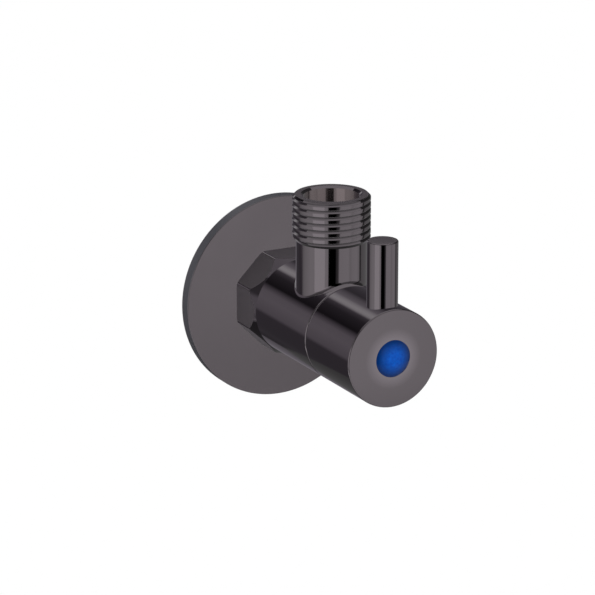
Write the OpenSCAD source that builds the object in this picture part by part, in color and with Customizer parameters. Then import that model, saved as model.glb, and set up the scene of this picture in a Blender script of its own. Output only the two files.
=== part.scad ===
// Quarter-turn stop valve for a cistern, angle pattern, for a wall.
// Y runs along the barrel: the finished wall is the plane y = 0, the tail goes
// into the wall (+Y) and the handle faces the room (-Y). The outlet points up (+Z).
// Most pieces are turned parts. They are drawn standing on the wall plane, with
// their own z as the distance from the wall, and laid down by from_wall().

/* [Threaded tail into the wall] */
// Outside diameter of both pipe threads (G 1/2)
thread_d = 20.955; // [20.4:0.005:21.4]
// Distance from one crest of a pipe thread to the next
thread_pitch = 1.814; // [1.4:0.001:2.2]
// Length of the threaded tail behind the wall plane
tail_l = 22; // [16:0.5:30]
// Diameter of the inlet waterway in the tail
inlet_d = 13; // [11:0.1:14]
// Bevel at the free end of each thread
thread_bevel = 0.7; // [0.4:0.1:1]
// How much the plain neck under the flange is smaller than the thread, in diameter
neck_step = 1; // [0.6:0.1:1.6]

/* [Wall flange] */
// Diameter of the cover flange
flange_d = 57; // [48:0.5:70]
// Depth of the flange from the wall to its face
flange_t = 3.6; // [3:0.1:5]
// Thickness of the flange's pressed sheet
flange_sheet = 1.2; // [0.8:0.1:1.6]
// Radius of the flange's front edge
flange_round = 0.7; // [0.4:0.1:1]
// Gap round the tail in the flange's hole, in radius
flange_gap = 0.3; // [0.2:0.05:0.6]

/* [Body] */
// Diameter of the barrel and of the handle that continues it
barrel_d = 26.6; // [25:0.1:30]
// Distance from the wall to the body's front end, where the handle starts
body_l = 43; // [41:0.5:50]
// How far the flats of the eight-sided wrench collar stand out of the barrel
collar_proud = 0.2; // [0.1:0.05:1]
// Length of the wrench collar's flats
collar_l = 7.4; // [5:0.1:8.5]
// Length of the taper from the collar's corners down to the barrel
taper_l = 3.6; // [2.5:0.1:4]
// Distance from the wall to the valve seat
seat_z = 18; // [16:0.25:19]
// Thickness of the floor that carries the valve seat
seat_floor = 5; // [3:0.25:6]
// Wall of the front neck that the handle turns over
neck_wall = 2; // [1.6:0.05:2.4]
// Width of the waterway round the cartridge's cage
chamber_gap = 0.95; // [0.6:0.05:1.2]

/* [Outlet] */
// Distance of the outlet's axis behind the body's front end
outlet_back = 10.1; // [9.9:0.1:12]
// Height of the outlet above the top of the barrel
outlet_h = 23; // [18:0.25:32]
// Length of the outlet's thread
outlet_thread_l = 12.4; // [9:0.1:14]
// Diameter of the plain tube under the outlet's thread
outlet_tube_d = 19; // [18:0.1:19.6]
// Diameter of the outlet's waterway
outlet_bore_d = 15.2; // [12:0.1:15.6]

/* [Ceramic cartridge] */
// Thickness of the fixed disc
fixed_h = 3.2; // [2.6:0.1:3.6]
// Thickness of the turning disc
moving_h = 3.6; // [3:0.1:4]
// Angle that each port of the discs spans
port_angle = 76; // [60:1:84]
// Quarter turn between open and shut
turn_angle = 90; // [80:1:90]
// Height of the rubber seal on the seat
seal_h = 2.6; // [2:0.1:3]
// Width of the rubber seal
seal_w = 1.05; // [0.8:0.05:1.4]
// Width of the seal's stiffening ring
seal_ring_w = 0.8; // [0.5:0.05:0.9]
// Wall of the cartridge's cage
cage_wall = 1; // [0.8:0.05:1.2]
// Thickness of the spindle's driving plate
dog_h = 2.8; // [2.2:0.1:3.4]
// Width of each stop tab on the driving plate, as an angle
tab_angle = 40; // [30:1:50]
// Thickness of the thrust washer above the driving plate
thrust_t = 0.8; // [0.5:0.1:1]
// Thickness of the cartridge's flat gasket
gasket_t = 0.8; // [0.5:0.1:1]
// Thickness of the cartridge's shoulder
shoulder_t = 2; // [1.5:0.1:2.4]
// Width across flats of the cartridge's hexagon
hex_af = 17; // [16:0.1:18]
// Height of the hexagon
hex_h = 2.6; // [2:0.1:2.8]
// Length of the cartridge's round nose
nose_l = 2.6; // [2:0.1:2.8]

/* [Spindle] */
// Diameter of the spindle's stem
stem_d = 8; // [7.4:0.1:8.4]
// Depth of the stem's two seal grooves
groove_depth = 1.3; // [1:0.05:1.5]
// Distance between the two seal grooves
groove_pitch = 5; // [4:0.25:6]
// Thickness of the spring clip that holds the spindle
clip_t = 0.8; // [0.6:0.05:1]
// Number of teeth on the spindle's spline
spline_teeth = 20; // [16:1:24]
// Depth of the spline's teeth
spline_depth = 0.5; // [0.3:0.05:0.6]

/* [Handle] */
// Length of the handle
handle_l = 23.3; // [20.5:0.1:27]
// Wall of the handle's skirt
skirt_wall = 2.1; // [1.6:0.05:2.6]
// Gap between the handle's skirt and the body's neck
skirt_gap = 0.5; // [0.3:0.05:0.8]
// Gap between the body and the handle
handle_gap = 0.2; // [0.15:0.05:0.5]
// Bevel on the handle's edges and on the body's front edge
handle_bevel = 0.35; // [0.2:0.05:0.6]
// Gap between the spindle's clip and the splined insert
hub_gap = 1.05; // [0.5:0.05:2]
// Length of the splined insert
insert_l = 3.5; // [3.2:0.1:3.8]
// Outside diameter of the splined insert
insert_d = 11.2; // [10.8:0.1:12]
// Diameter of the handle screw
screw_d = 3.9; // [3.4:0.1:4.2]
// Height of the screw's head
screw_head_h = 1.4; // [1.1:0.1:1.5]
// Diameter of the screw's head
screw_head_d = 7.2; // [6.4:0.1:7.4]
// Thickness of the screw's washer
screw_washer_t = 0.6; // [0.4:0.05:0.7]
// Diameter of the coloured button
button_d = 10; // [9.8:0.1:12]
// Depth of the button's seat in the handle's face
button_seat = 1; // [0.8:0.05:1.2]
// Height of the button's dome above the face
button_dome = 1; // [0.5:0.1:1.6]

/* [Lever pin] */
// Diameter of the lever pin
lever_d = 8.2; // [7:0.1:9]
// Height of the lever pin above the handle's surface
lever_h = 17.2; // [12:0.1:24]
// Distance of the lever pin's axis behind the handle's face
lever_back = 6; // [5.6:0.1:6.2]
// Diameter of the lever pin's threaded spigot
spigot_d = 5; // [4:0.1:5.4]

/* [Hidden] */
$fn = 96;

// Clearances in radius: turning fit, seal on a turning stem, fixed fit.
// A cut runs this far past the face it opens
run_gap = 0.05;
seal_gap = 0.02;
fit_gap = 0.05;
cut = 1;

// Form of both pipe threads: straight flanks between flat crests and roots
thread_r = thread_d / 2;
thread_depth = 0.64 * thread_pitch;
flank_angle = 27.5;
flank_l = thread_depth * tan(flank_angle);
thread_flat = thread_pitch / 2 - flank_l;

// Bevels on small edges, and at the start of threads that go into a hole
edge_bevel = 0.3;
lead_bevel = 0.4;

// Body and tail, with the radii from the barrel inwards
plain_r = thread_r - neck_step / 2;
barrel_r = barrel_d / 2;
collar_af = barrel_d + 2 * collar_proud;
skirt_r = barrel_r - skirt_wall;
neck_r = skirt_r - skirt_gap;
chamber_r = neck_r - neck_wall;
collar_end = flange_t + collar_l;
taper_end = collar_end + taper_l;

// Handle and the front of the cartridge in it, from the handle's face backwards
button_r = button_d / 2;
handle_z = body_l + handle_gap;
face_z = handle_z + handle_l;
seat_floor_z = face_z - button_seat;
head_gap = 0.1;
head_z = seat_floor_z - head_gap - screw_head_h;
washer_z = head_z - screw_washer_t;
insert_z = washer_z - insert_l;
clip_z = insert_z - hub_gap - clip_t;
nose_z = clip_z - run_gap - nose_l;
hex_z = nose_z - hex_h;
shoulder_z = hex_z - shoulder_t;
neck_end = shoulder_z - gasket_t;
neck_l = neck_end - body_l;

// Outlet
outlet_z = body_l - outlet_back;
outlet_top = barrel_r + outlet_h;
outlet_thread_z = outlet_top - outlet_thread_l;

// Cage of the cartridge and the discs in it, from the seat to the stem's bearing
cage_out = chamber_r - chamber_gap;
cage_in = cage_out - cage_wall;
disc_r = cage_in - fit_gap;
seal_in = disc_r - seal_w;
seat_r = seal_in - fit_gap - seal_ring_w;
cage_foot = 0.4;
cage_foot_z = seat_z + cage_foot;
fixed_z = seat_z + seal_h;
moving_z = fixed_z + fixed_h;
dog_z = moving_z + moving_h;
thrust_z = dog_z + dog_h + run_gap;
ceiling_z = thrust_z + thrust_t;
port_in = 1.1;
port_out = seat_r - head_gap;
ear_w = 3;
window_angle = 100;
window_foot = 0.6;
window_z = moving_z + window_foot;

// Driving plate: tangs that grip the turning disc, tabs that meet the cage's ribs
dog_inset = 1.5;
dog_r = disc_r - dog_inset;
dog_w = 4;
tang_w = 2;
tang_h = 1.4;
tang_in = 2.2;
tang_out = dog_r - 2 * fit_gap;
tab_gap = 0.2;
tab_out = disc_r - tab_gap;
stop_play = 1;
tab_centre = 90 + turn_angle / 2;
rib_angle = 180 - turn_angle - tab_angle - 2 * stop_play;
rib_in = dog_r + tab_gap;

// Stem and its seals
stem_r = stem_d / 2;
stem_bore = stem_r + run_gap;
groove_r = stem_r - groove_depth;
seal_out = stem_bore - seal_gap;
seal_width = seal_out - groove_r;
bearing_lead = 4;
seal_rear_z = ceiling_z + bearing_lead;
seal_front_z = seal_rear_z + groove_pitch;

// Thread, nose and clip of the cartridge
thread_lead = 1.5;
thread_start = body_l - thread_lead;
nose_wall = 1.8;
nose_r = stem_r + nose_wall;
clip_depth = 0.6;
clip_in = stem_r - clip_depth;
clip_out = nose_r - tab_gap;
clip_opening = 60;

// Inside of the handle
insert_r = insert_d / 2;
insert_wall = 0.9;
stem_end = washer_z - insert_wall - head_gap;
screw_r = screw_d / 2;
screw_l = 10;
skirt_room = 0.6;
skirt_end = nose_z + skirt_room;
hub_room = 1.2;
hub_r = clip_out + hub_room;
head_r = screw_head_d / 2;
head_room = 0.8;
head_room_r = head_r + head_room;

// Ring that keeps dirt out of the gap between body and handle
dust_z = body_l + neck_l / 2;
dust_depth = 0.8;
dust_in = neck_r - dust_depth;
dust_out = skirt_r - 2 * run_gap;

// Lever pin
lever_r = lever_d / 2;
lever_z = face_z - lever_back;
lever_seat = sqrt(pow(barrel_r, 2) - pow(lever_r, 2)) - fit_gap;
lever_top = barrel_r + lever_h;
spigot_floor = 1;
spigot_bottom = max(insert_r, hub_r) + spigot_floor;

// Colours
metal = [0.52, 0.5, 0.52];
brass = [0.8, 0.65, 0.35];
rubber = [0.12, 0.12, 0.13];
ceramic = [0.93, 0.93, 0.9];
steel = [0.75, 0.76, 0.78];
blue = [0.05, 0.35, 0.85];

// Lays a piece that is drawn upwards from the wall plane down along the barrel
module from_wall(z = 0) {
    rotate([90, 0, 0]) translate([0, 0, z]) children();
}

// A plain ring or sleeve
module ring(r_in, r_out, h) {
    difference() {
        cylinder(r = r_out, h = h);
        translate([0, 0, -cut]) cylinder(r = r_in, h = h + 2 * cut);
    }
}

// A round bar with a bevel at its lower or upper edge, or at both
module bar(r, h, low = 0, high = 0) {
    rotate_extrude() polygon(concat([[0, 0]],
        low > 0 ? [[r - low, 0], [r, low]] : [[r, 0]],
        high > 0 ? [[r, h - high], [r - high, h]] : [[r, h]],
        [[0, h]]));
}

// A threaded end that stands on its bevelled free face. Each turn of the thread is a
// groove of its own, with the thread's pitch, depth and flanks
module threaded_bar(h) {
    first = thread_bevel + thread_flat;
    turns = floor((h - first) / thread_pitch);
    groove = [[0, 0], [thread_depth, flank_l],
        [thread_depth, flank_l + thread_flat], [0, 2 * flank_l + thread_flat]];
    rotate_extrude() polygon(concat(
        [[0, 0], [thread_r - thread_bevel, 0], [thread_r, thread_bevel]],
        [for (i = [0:turns - 1], p = groove)
            [thread_r - p.x, first + i * thread_pitch + p.y]],
        [[thread_r, h], [0, h]]));
}

// Points of an arc about a centre, from angle a to angle b
function arc(centre, r, a, b, n = 10) =
    [for (i = [0:n]) let (t = a + (b - a) * i / n) centre + r * [cos(t), sin(t)]];

// A flat sector between two radii, its middle at an angle
module sector(r_in, r_out, middle, width) {
    polygon(concat(arc([0, 0], r_out, middle - width / 2, middle + width / 2),
        arc([0, 0], r_in, middle + width / 2, middle - width / 2)));
}

// The outline of a spline with straight-sided teeth
function spline(r, depth, teeth) =
    [for (i = [0:2 * teeth - 1]) let (t = 180 * i / teeth)
        (i % 2 == 0 ? r : r - depth) * [cos(t), sin(t)]];

// A ring of round rubber cord that fills the space between two radii
module cord_ring(r_in, r_out) {
    cord_r = (r_out - r_in) / 2;
    rotate_extrude() translate([r_in + cord_r, 0]) circle(r = cord_r, $fn = 40);
}

// Pressed cover: a rounded front edge, a rim to the wall and a hub round the tail
module wall_flange() {
    r = flange_d / 2;
    hole = thread_r + flange_gap;
    inner = flange_t - flange_sheet;
    color(metal) from_wall() rotate_extrude() polygon(concat(
        [[hole, 0], [hole + flange_sheet, 0], [hole + flange_sheet, inner],
         [r - flange_sheet, inner], [r - flange_sheet, 0], [r, 0]],
        arc([r - flange_round, flange_t - flange_round], flange_round, 0, 90),
        [[hole, flange_t]]));
}

// Eight-sided collar whose corners run down to the barrel in a cone. The turned
// outline runs past the corners, so that both bevels cut them cleanly
module wrench_collar() {
    corner_r = collar_af / 2 / cos(22.5);
    past = 0.5;
    slope = taper_l / (corner_r - barrel_r);
    intersection() {
        rotate(22.5) cylinder(r = corner_r, h = taper_end, $fn = 8);
        rotate_extrude() polygon([[0, flange_t], [corner_r - handle_bevel, flange_t],
            [corner_r + past, flange_t + handle_bevel + past],
            [corner_r + past, collar_end - past * slope],
            [barrel_r, taper_end], [0, taper_end]]);
    }
}

// Neck that the handle turns over, with the groove for the dust ring
module front_neck() {
    groove_w = dust_out - dust_in + 2 * fit_gap;
    difference() {
        from_wall(body_l - cut) bar(neck_r, neck_l + cut, 0, handle_bevel);
        from_wall(dust_z - groove_w / 2) ring(dust_in, neck_r + cut, groove_w);
    }
}

module valve_body() {
    color(metal) difference() {
        union() {
            from_wall(-tail_l) threaded_bar(tail_l);
            from_wall(-thread_flat / 2)
                cylinder(r = plain_r, h = flange_t + cut + thread_flat / 2);
            from_wall() wrench_collar();
            from_wall(collar_end) bar(barrel_r, body_l - collar_end, 0, handle_bevel);
            front_neck();
            translate([0, -outlet_z, 0])
                cylinder(r = outlet_tube_d / 2, h = outlet_thread_z + thread_flat / 2);
            translate([0, -outlet_z, outlet_top])
                rotate([180, 0, 0]) threaded_bar(outlet_thread_l);
        }
        from_wall(-tail_l - cut)
            cylinder(r = inlet_d / 2, h = tail_l + cut + seat_z - seat_floor);
        from_wall() cylinder(r = seat_r, h = seat_z + cut);
        from_wall(seat_z) cylinder(r = chamber_r, h = neck_end - seat_z + cut);
        translate([0, -outlet_z, 0])
            cylinder(r = outlet_bore_d / 2, h = outlet_top + cut);
    }
}

module housing_gasket() {
    color(rubber) from_wall(neck_end)
        ring(chamber_r + fit_gap, neck_r - handle_bevel - fit_gap, gasket_t);
}

// Cage with two windows, two ribs that stop the spindle and slots for the fixed
// disc's ears, then the threaded part, the shoulder, the hexagon and the nose
module cartridge_housing() {
    color(brass) from_wall() {
        difference() {
            union() {
                translate([0, 0, cage_foot_z])
                    cylinder(r = cage_out, h = thread_start + cut - cage_foot_z);
                translate([0, 0, thread_start])
                    bar(chamber_r - fit_gap, shoulder_z + cut - thread_start, lead_bevel);
                translate([0, 0, shoulder_z])
                    bar(neck_r, shoulder_t, 0, handle_bevel);
                translate([0, 0, hex_z - cut])
                    cylinder(r = hex_af / 2 / cos(30), h = hex_h + cut, $fn = 6);
                translate([0, 0, nose_z - cut]) bar(nose_r, nose_l + cut, 0, lead_bevel);
            }
            translate([0, 0, cage_foot_z - cut])
                cylinder(r = cage_in, h = ceiling_z - cage_foot_z + cut);
            cylinder(r = stem_bore, h = face_z);
            translate([0, 0, window_z]) linear_extrude(ceiling_z - window_z)
                for (side = [90, 270]) sector(cage_in - cut, cage_out + cut, side, window_angle);
            for (side = [0, 180]) rotate(side)
                translate([cage_in - cut, -ear_w / 2 - fit_gap, cage_foot_z - cut])
                    cube([cage_wall + 2 * cut, ear_w + 2 * fit_gap, moving_z - cage_foot_z + cut]);
        }
        translate([0, 0, dog_z]) linear_extrude(dog_h + run_gap)
            for (side = [0, 180]) sector(rib_in, cage_in + cage_wall / 2, side, rib_angle);
    }
}

module seat_seal() {
    color(rubber) from_wall(seat_z) ring(seal_in, disc_r, seal_h);
}

module seal_ring() {
    lip = 0.3;
    color(steel) from_wall(seat_z + lip) ring(seat_r, seat_r + seal_ring_w, seal_h - lip);
}

// The two opposite ports of a ceramic disc
module ports(h) {
    translate([0, 0, -cut]) linear_extrude(h + 2 * cut)
        for (side = [90, 270]) sector(port_in, port_out, side, port_angle);
}

module fixed_disc() {
    color(ceramic) from_wall(fixed_z) difference() {
        union() {
            cylinder(r = disc_r, h = fixed_h);
            for (side = [0, 180]) rotate(side)
                translate([0, -ear_w / 2, 0]) cube([cage_out - fit_gap, ear_w, fixed_h]);
        }
        ports(fixed_h);
    }
}

// The turning disc has a pocket for each of the spindle's tangs
module moving_disc() {
    color(ceramic) from_wall(moving_z) difference() {
        cylinder(r = disc_r - 2 * run_gap, h = moving_h);
        ports(moving_h);
        for (side = [0, 180]) rotate(side)
            translate([tang_in - fit_gap, -tang_w / 2 - fit_gap, moving_h - tang_h - fit_gap])
                cube([tang_out - tang_in + 2 * fit_gap, tang_w + 2 * fit_gap, tang_h + cut]);
    }
}

module thrust_washer() {
    color(steel) from_wall(thrust_z) ring(stem_bore, cage_in - 2 * fit_gap, thrust_t);
}

// Plate across the stem's foot with its two stop tabs and two tangs
module driving_plate() {
    linear_extrude(dog_h) {
        intersection() {
            circle(r = dog_r);
            square([2 * disc_r, dog_w], center = true);
        }
        for (side = [0, 180]) sector(stem_r - fit_gap, tab_out, side + tab_centre, tab_angle);
    }
    for (side = [0, 180]) rotate(side)
        translate([tang_in, -tang_w / 2, -tang_h])
            cube([tang_out - tang_in, tang_w, tang_h + cut]);
}

module spindle() {
    color(brass) from_wall() difference() {
        union() {
            translate([0, 0, dog_z]) driving_plate();
            translate([0, 0, dog_z]) cylinder(r = stem_r, h = insert_z - dog_z);
            translate([0, 0, insert_z - cut]) linear_extrude(stem_end - insert_z + cut)
                polygon(spline(stem_r, spline_depth, spline_teeth));
        }
        for (z = [seal_rear_z, seal_front_z])
            translate([0, 0, z - seal_width / 2 - fit_gap])
                ring(groove_r, stem_r + cut, seal_width + 2 * fit_gap);
        translate([0, 0, clip_z - fit_gap])
            ring(clip_in - fit_gap, stem_r + cut, clip_t + 2 * fit_gap);
        translate([0, 0, head_z - screw_l - fit_gap])
            cylinder(r = screw_r + fit_gap, h = screw_l);
    }
}

module spindle_seal_rear() {
    color(rubber) from_wall(seal_rear_z) cord_ring(groove_r, seal_out);
}

module spindle_seal_front() {
    color(rubber) from_wall(seal_front_z) cord_ring(groove_r, seal_out);
}

// Spring clip, open on one side so that it snaps into the stem's groove
module spindle_clip() {
    color(steel) from_wall(clip_z) linear_extrude(clip_t) difference() {
        circle(r = clip_out);
        circle(r = clip_in);
        sector(clip_in - cut, clip_out + cut, 270, clip_opening);
    }
}

module dust_ring() {
    color(rubber) from_wall(dust_z) cord_ring(dust_in, dust_out);
}

// Cup over the neck: skirt, room for the clip, seats for insert, screw and button,
// and a flat-bottomed seat with a tapped hole for the lever pin
module handle_shell() {
    color(metal) difference() {
        from_wall(handle_z) bar(barrel_r, handle_l, handle_bevel, handle_bevel);
        from_wall(handle_z - cut) cylinder(r = skirt_r, h = skirt_end - handle_z + cut);
        from_wall(handle_z) cylinder(r = hub_r, h = insert_z - handle_z);
        from_wall(insert_z - cut) cylinder(r = insert_r + fit_gap, h = insert_l + cut);
        from_wall(washer_z - cut) cylinder(r = head_room_r, h = handle_l);
        from_wall(seat_floor_z) cylinder(r = button_r + fit_gap, h = button_seat + cut);
        translate([0, -lever_z, lever_seat]) cylinder(r = lever_r + fit_gap, h = barrel_r);
        translate([0, -lever_z, spigot_bottom - spigot_floor / 3])
            cylinder(r = spigot_d / 2 + fit_gap, h = barrel_r);
    }
}

// Bush pressed into the handle, with the spline that grips the spindle
module spline_insert() {
    color(brass) from_wall(insert_z) difference() {
        bar(insert_r, insert_l, edge_bevel, edge_bevel);
        translate([0, 0, -cut]) linear_extrude(insert_l - insert_wall + cut)
            polygon(spline(stem_r + fit_gap, spline_depth, spline_teeth));
        cylinder(r = screw_r + 2 * fit_gap, h = insert_l + cut);
    }
}

module screw_washer() {
    color(steel) from_wall(washer_z)
        ring(screw_r + 2 * fit_gap, head_r + head_room / 2, screw_washer_t);
}

module handle_screw() {
    socket_af = 3;
    socket_h = 0.9;
    color(steel) from_wall(head_z) difference() {
        union() {
            translate([0, 0, -screw_l]) bar(screw_r, screw_l + cut / 2, edge_bevel);
            bar(head_r, screw_head_h, 0, edge_bevel);
        }
        translate([0, 0, screw_head_h - socket_h])
            cylinder(r = socket_af / 2 / cos(30), h = socket_h + cut, $fn = 6);
    }
}

// Domed button on a short skirt that clips into the screw's counterbore
module indicator_button() {
    dome_r = (pow(button_r, 2) + pow(button_dome, 2)) / (2 * button_dome);
    skirt_l = 0.9;
    color(blue) from_wall(seat_floor_z) {
        intersection() {
            cylinder(r = button_r, h = button_seat + button_dome + cut);
            translate([0, 0, button_seat + button_dome - dome_r]) sphere(r = dome_r);
        }
        translate([0, 0, -skirt_l])
            ring(head_r + head_gap, head_room_r - fit_gap, skirt_l + button_seat / 2);
    }
}

module lever_pin() {
    color(metal) translate([0, -lever_z, 0]) {
        translate([0, 0, lever_seat]) bar(lever_r, lever_top - lever_seat, 0, edge_bevel);
        translate([0, 0, spigot_bottom])
            bar(spigot_d / 2, lever_seat - spigot_bottom + cut / 2, lead_bevel);
    }
}

wall_flange();
valve_body();
housing_gasket();
cartridge_housing();
seat_seal();
seal_ring();
fixed_disc();
moving_disc();
thrust_washer();
spindle();
spindle_seal_rear();
spindle_seal_front();
spindle_clip();
dust_ring();
handle_shell();
spline_insert();
screw_washer();
handle_screw();
indicator_button();
lever_pin();
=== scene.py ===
# %% [markdown]
# A stop valve for a cistern, dressed in Blender around its CAD model.
# The valve is taken for a brass fitting with a gunmetal finish. It screws into the wall behind a round
# cover flange, turns the water upwards through a threaded outlet, and is opened and shut by a quarter
# turn of the round handle with its short lever pin. The blue button marks cold water.
# The CAD model gives every size and place. This script loads it as a fixed frame, models the pieces
# that show with the tools of a lathe and a milling machine in mind, and gives every piece a material.

# %% Load the CAD frame
import math

import bmesh
import bpy
from mathutils import Matrix, Vector


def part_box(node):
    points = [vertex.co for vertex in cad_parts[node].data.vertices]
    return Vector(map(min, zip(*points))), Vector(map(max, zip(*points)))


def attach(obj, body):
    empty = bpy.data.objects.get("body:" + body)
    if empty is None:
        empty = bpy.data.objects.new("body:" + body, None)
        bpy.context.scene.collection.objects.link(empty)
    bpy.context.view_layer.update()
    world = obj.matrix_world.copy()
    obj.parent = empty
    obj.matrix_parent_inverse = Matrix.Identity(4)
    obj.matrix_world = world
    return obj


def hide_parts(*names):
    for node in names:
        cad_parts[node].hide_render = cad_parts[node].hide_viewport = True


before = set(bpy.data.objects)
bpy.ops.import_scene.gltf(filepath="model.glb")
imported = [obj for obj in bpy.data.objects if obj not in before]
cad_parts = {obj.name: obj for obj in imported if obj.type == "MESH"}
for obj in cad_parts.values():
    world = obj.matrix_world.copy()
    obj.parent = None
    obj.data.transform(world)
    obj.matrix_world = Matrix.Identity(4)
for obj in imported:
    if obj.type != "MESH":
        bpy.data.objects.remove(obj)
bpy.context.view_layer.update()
MM = 0.001

# %% [markdown]
# The frame of the model: the finished wall is the plane y = 0, the barrel comes out of it towards -Y,
# and the outlet points up. The photograph is taken from the left and slightly above, from about
# 0.9 m away with a long lens. A camera could be aimed with a Track To constraint, but here its three
# axes are worked out from the viewing angle, because then the picture's frame is exact.

# %% Camera
PICTURE_WIDTH = 595
FOCAL_PIXELS = 3144
VIEW_FROM_LEFT = math.radians(28.03)
VIEW_FROM_ABOVE = math.radians(17.19)
VIEW_DISTANCE = 873.41 * MM
VIEW_RIGHT = 7.37 * MM
VIEW_UP = -1.99 * MM
VIEW_FORWARD = -2 * MM

towards_camera = Vector((
    -math.sin(VIEW_FROM_LEFT) * math.cos(VIEW_FROM_ABOVE),
    -math.cos(VIEW_FROM_LEFT) * math.cos(VIEW_FROM_ABOVE),
    math.sin(VIEW_FROM_ABOVE)))
picture_right = Vector((math.cos(VIEW_FROM_LEFT), -math.sin(VIEW_FROM_LEFT), 0))
picture_up = towards_camera.cross(picture_right)

camera_data = bpy.data.cameras.new("camera")
camera_data.sensor_width = 36
camera_data.lens = FOCAL_PIXELS / PICTURE_WIDTH * camera_data.sensor_width
camera_data.clip_end = 100
camera = bpy.data.objects.new("camera", camera_data)
bpy.context.collection.objects.link(camera)
camera.location = (towards_camera * VIEW_DISTANCE + picture_right * VIEW_RIGHT
    + picture_up * VIEW_UP - Vector((0, VIEW_FORWARD, 0)))
camera.rotation_mode = "QUATERNION"
axes = Matrix((picture_right, picture_up, towards_camera)).transposed()
camera.rotation_quaternion = axes.to_quaternion()
bpy.context.scene.camera = camera
bpy.context.scene.view_settings.view_transform = "Standard"
print("lens, mm:", round(camera_data.lens, 1))

# %% [markdown]
# Small helpers come first. An operator acts on everything that is selected, so each one starts by
# deselecting all. An outline is drawn as by hand: one vertex, extruded from point to point.

# %% Helpers to start, draw and clean a mesh
WELD = 0.002 * MM


def start_clean():
    """Object mode, with nothing selected."""
    if bpy.context.mode != "OBJECT":
        bpy.ops.object.mode_set(mode="OBJECT")
    bpy.ops.object.select_all(action="DESELECT")


def only(piece):
    """Selects one piece and makes it the active one."""
    start_clean()
    piece.select_set(True)
    bpy.context.view_layer.objects.active = piece


def draw_outline(name, points):
    """A new mesh that is one line through the points. It stays in edit mode, all selected."""
    start_clean()
    bpy.ops.mesh.primitive_plane_add(size=MM, enter_editmode=True)
    piece = bpy.context.object
    piece.name = name
    bpy.ops.mesh.select_mode(type="VERT")
    bpy.ops.mesh.merge(type="CENTER")
    bpy.ops.transform.translate(value=points[0])
    for start, end in zip(points, points[1:]):
        step = Vector(end) - Vector(start)
        bpy.ops.mesh.extrude_vertices_move(TRANSFORM_OT_translate={"value": step})
    bpy.ops.mesh.select_all(action="SELECT")
    return piece


def weld_and_turn_outwards():
    """Merges doubled vertices in edit mode, then points the faces outwards."""
    bpy.ops.mesh.select_all(action="SELECT")
    bpy.ops.mesh.remove_doubles(threshold=WELD)
    bpy.ops.mesh.normals_make_consistent(inside=False)
    bpy.ops.object.mode_set(mode="OBJECT")


# %% [markdown]
# Nearly every piece of the valve is turned on a lathe: the cutter's path is an outline, and the bar
# spins past it. Blender's spin does the same. The outline is a list of (radius, place along the axis)
# in millimetres. The barrel's axis is Y and its places are distances from the wall. The outlet's and
# the pin's axes are upright, and their places are heights.

# %% Turn an outline about an axis
TURN_STEPS = 192
BARREL = (Vector((0, 1, 0)), lambda r, place: Vector((0, -place, r)) * MM)


def upright(distance_from_wall):
    """An upright axis at that distance from the wall, in the way that turn() takes it."""
    return (Vector((0, 0, 1)), lambda r, place: Vector((r, -distance_from_wall, place)) * MM)


def turn(name, outline, axis=BARREL, steps=TURN_STEPS):
    """A turned solid or ring. A ring's outline ends where it starts."""
    direction, place_point = axis
    piece = draw_outline(name, [place_point(r, place) for r, place in outline])
    bpy.ops.mesh.spin(steps=steps, angle=math.tau, center=place_point(0, 0), axis=direction)
    weld_and_turn_outwards()
    return piece


def rounded(corner, before, after, radius, steps=4):
    """The points of a rounded corner of an outline, between the corners before and after it.

    Slerp gives directions of length 1, so they are multiplied by the radius."""
    corner = Vector(corner)
    to_before = (Vector(before) - corner).normalized()
    to_after = (Vector(after) - corner).normalized()
    half = to_before.angle(to_after) / 2
    centre = corner + (to_before + to_after).normalized() * radius / math.sin(half)
    first = corner + to_before * radius / math.tan(half) - centre
    last = corner + to_after * radius / math.tan(half) - centre
    return [tuple(centre + first.slerp(last, i / steps) * radius) for i in range(steps + 1)]


# %% [markdown]
# Boring a hole, milling a flat and joining two shapes are all Booleans: the exact solver cuts one
# closed mesh with another. The tool is deleted afterwards, so that only the finished piece is left.
# A cut can leave edges much shorter than a hair is wide. They are welded away each time, because the
# next cut would tear the mesh open there.

# %% Cut and join closed meshes
def combine(piece, tool, how):
    """DIFFERENCE, UNION or INTERSECT of a piece with a tool, which is used up."""
    only(piece)
    modifier = piece.modifiers.new("cut", "BOOLEAN")
    modifier.object = tool
    modifier.operation = how
    modifier.solver = "EXACT"
    bpy.ops.object.modifier_apply(modifier=modifier.name)
    bpy.data.objects.remove(tool)
    bpy.ops.object.mode_set(mode="EDIT")
    bpy.ops.mesh.select_all(action="SELECT")
    bpy.ops.mesh.remove_doubles(threshold=WELD)
    bpy.ops.mesh.dissolve_degenerate(threshold=WELD)
    bpy.ops.object.mode_set(mode="OBJECT")


def open_edges(piece):
    """How many edges don't join exactly two faces. A sound closed mesh has none."""
    mesh = bmesh.new()
    mesh.from_mesh(piece.data)
    count = sum(1 for edge in mesh.edges if len(edge.link_faces) != 2)
    mesh.free()
    return count


# %% [markdown]
# A pipe thread is one tooth swept along a helix. Modelling it as stacked rings is quicker, but the
# crests then don't climb, and that shows at both ends. Here a line of one pitch is swept by the Screw
# modifier, so the turns join, and the ends are cut flat with bisect. The flanks stand at 27.5 degrees.
# A true G 1/2 thread is 1.16 mm deep. The one in the photograph looks shallower, with broad crests and
# narrow grooves, and this tooth follows the photograph. The line starts and ends in the middle of a
# groove, and its corners are rounded, because they look soft.
# The sweep begins a little more than two turns early, so that no vertex lies in a cutting plane.

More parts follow.
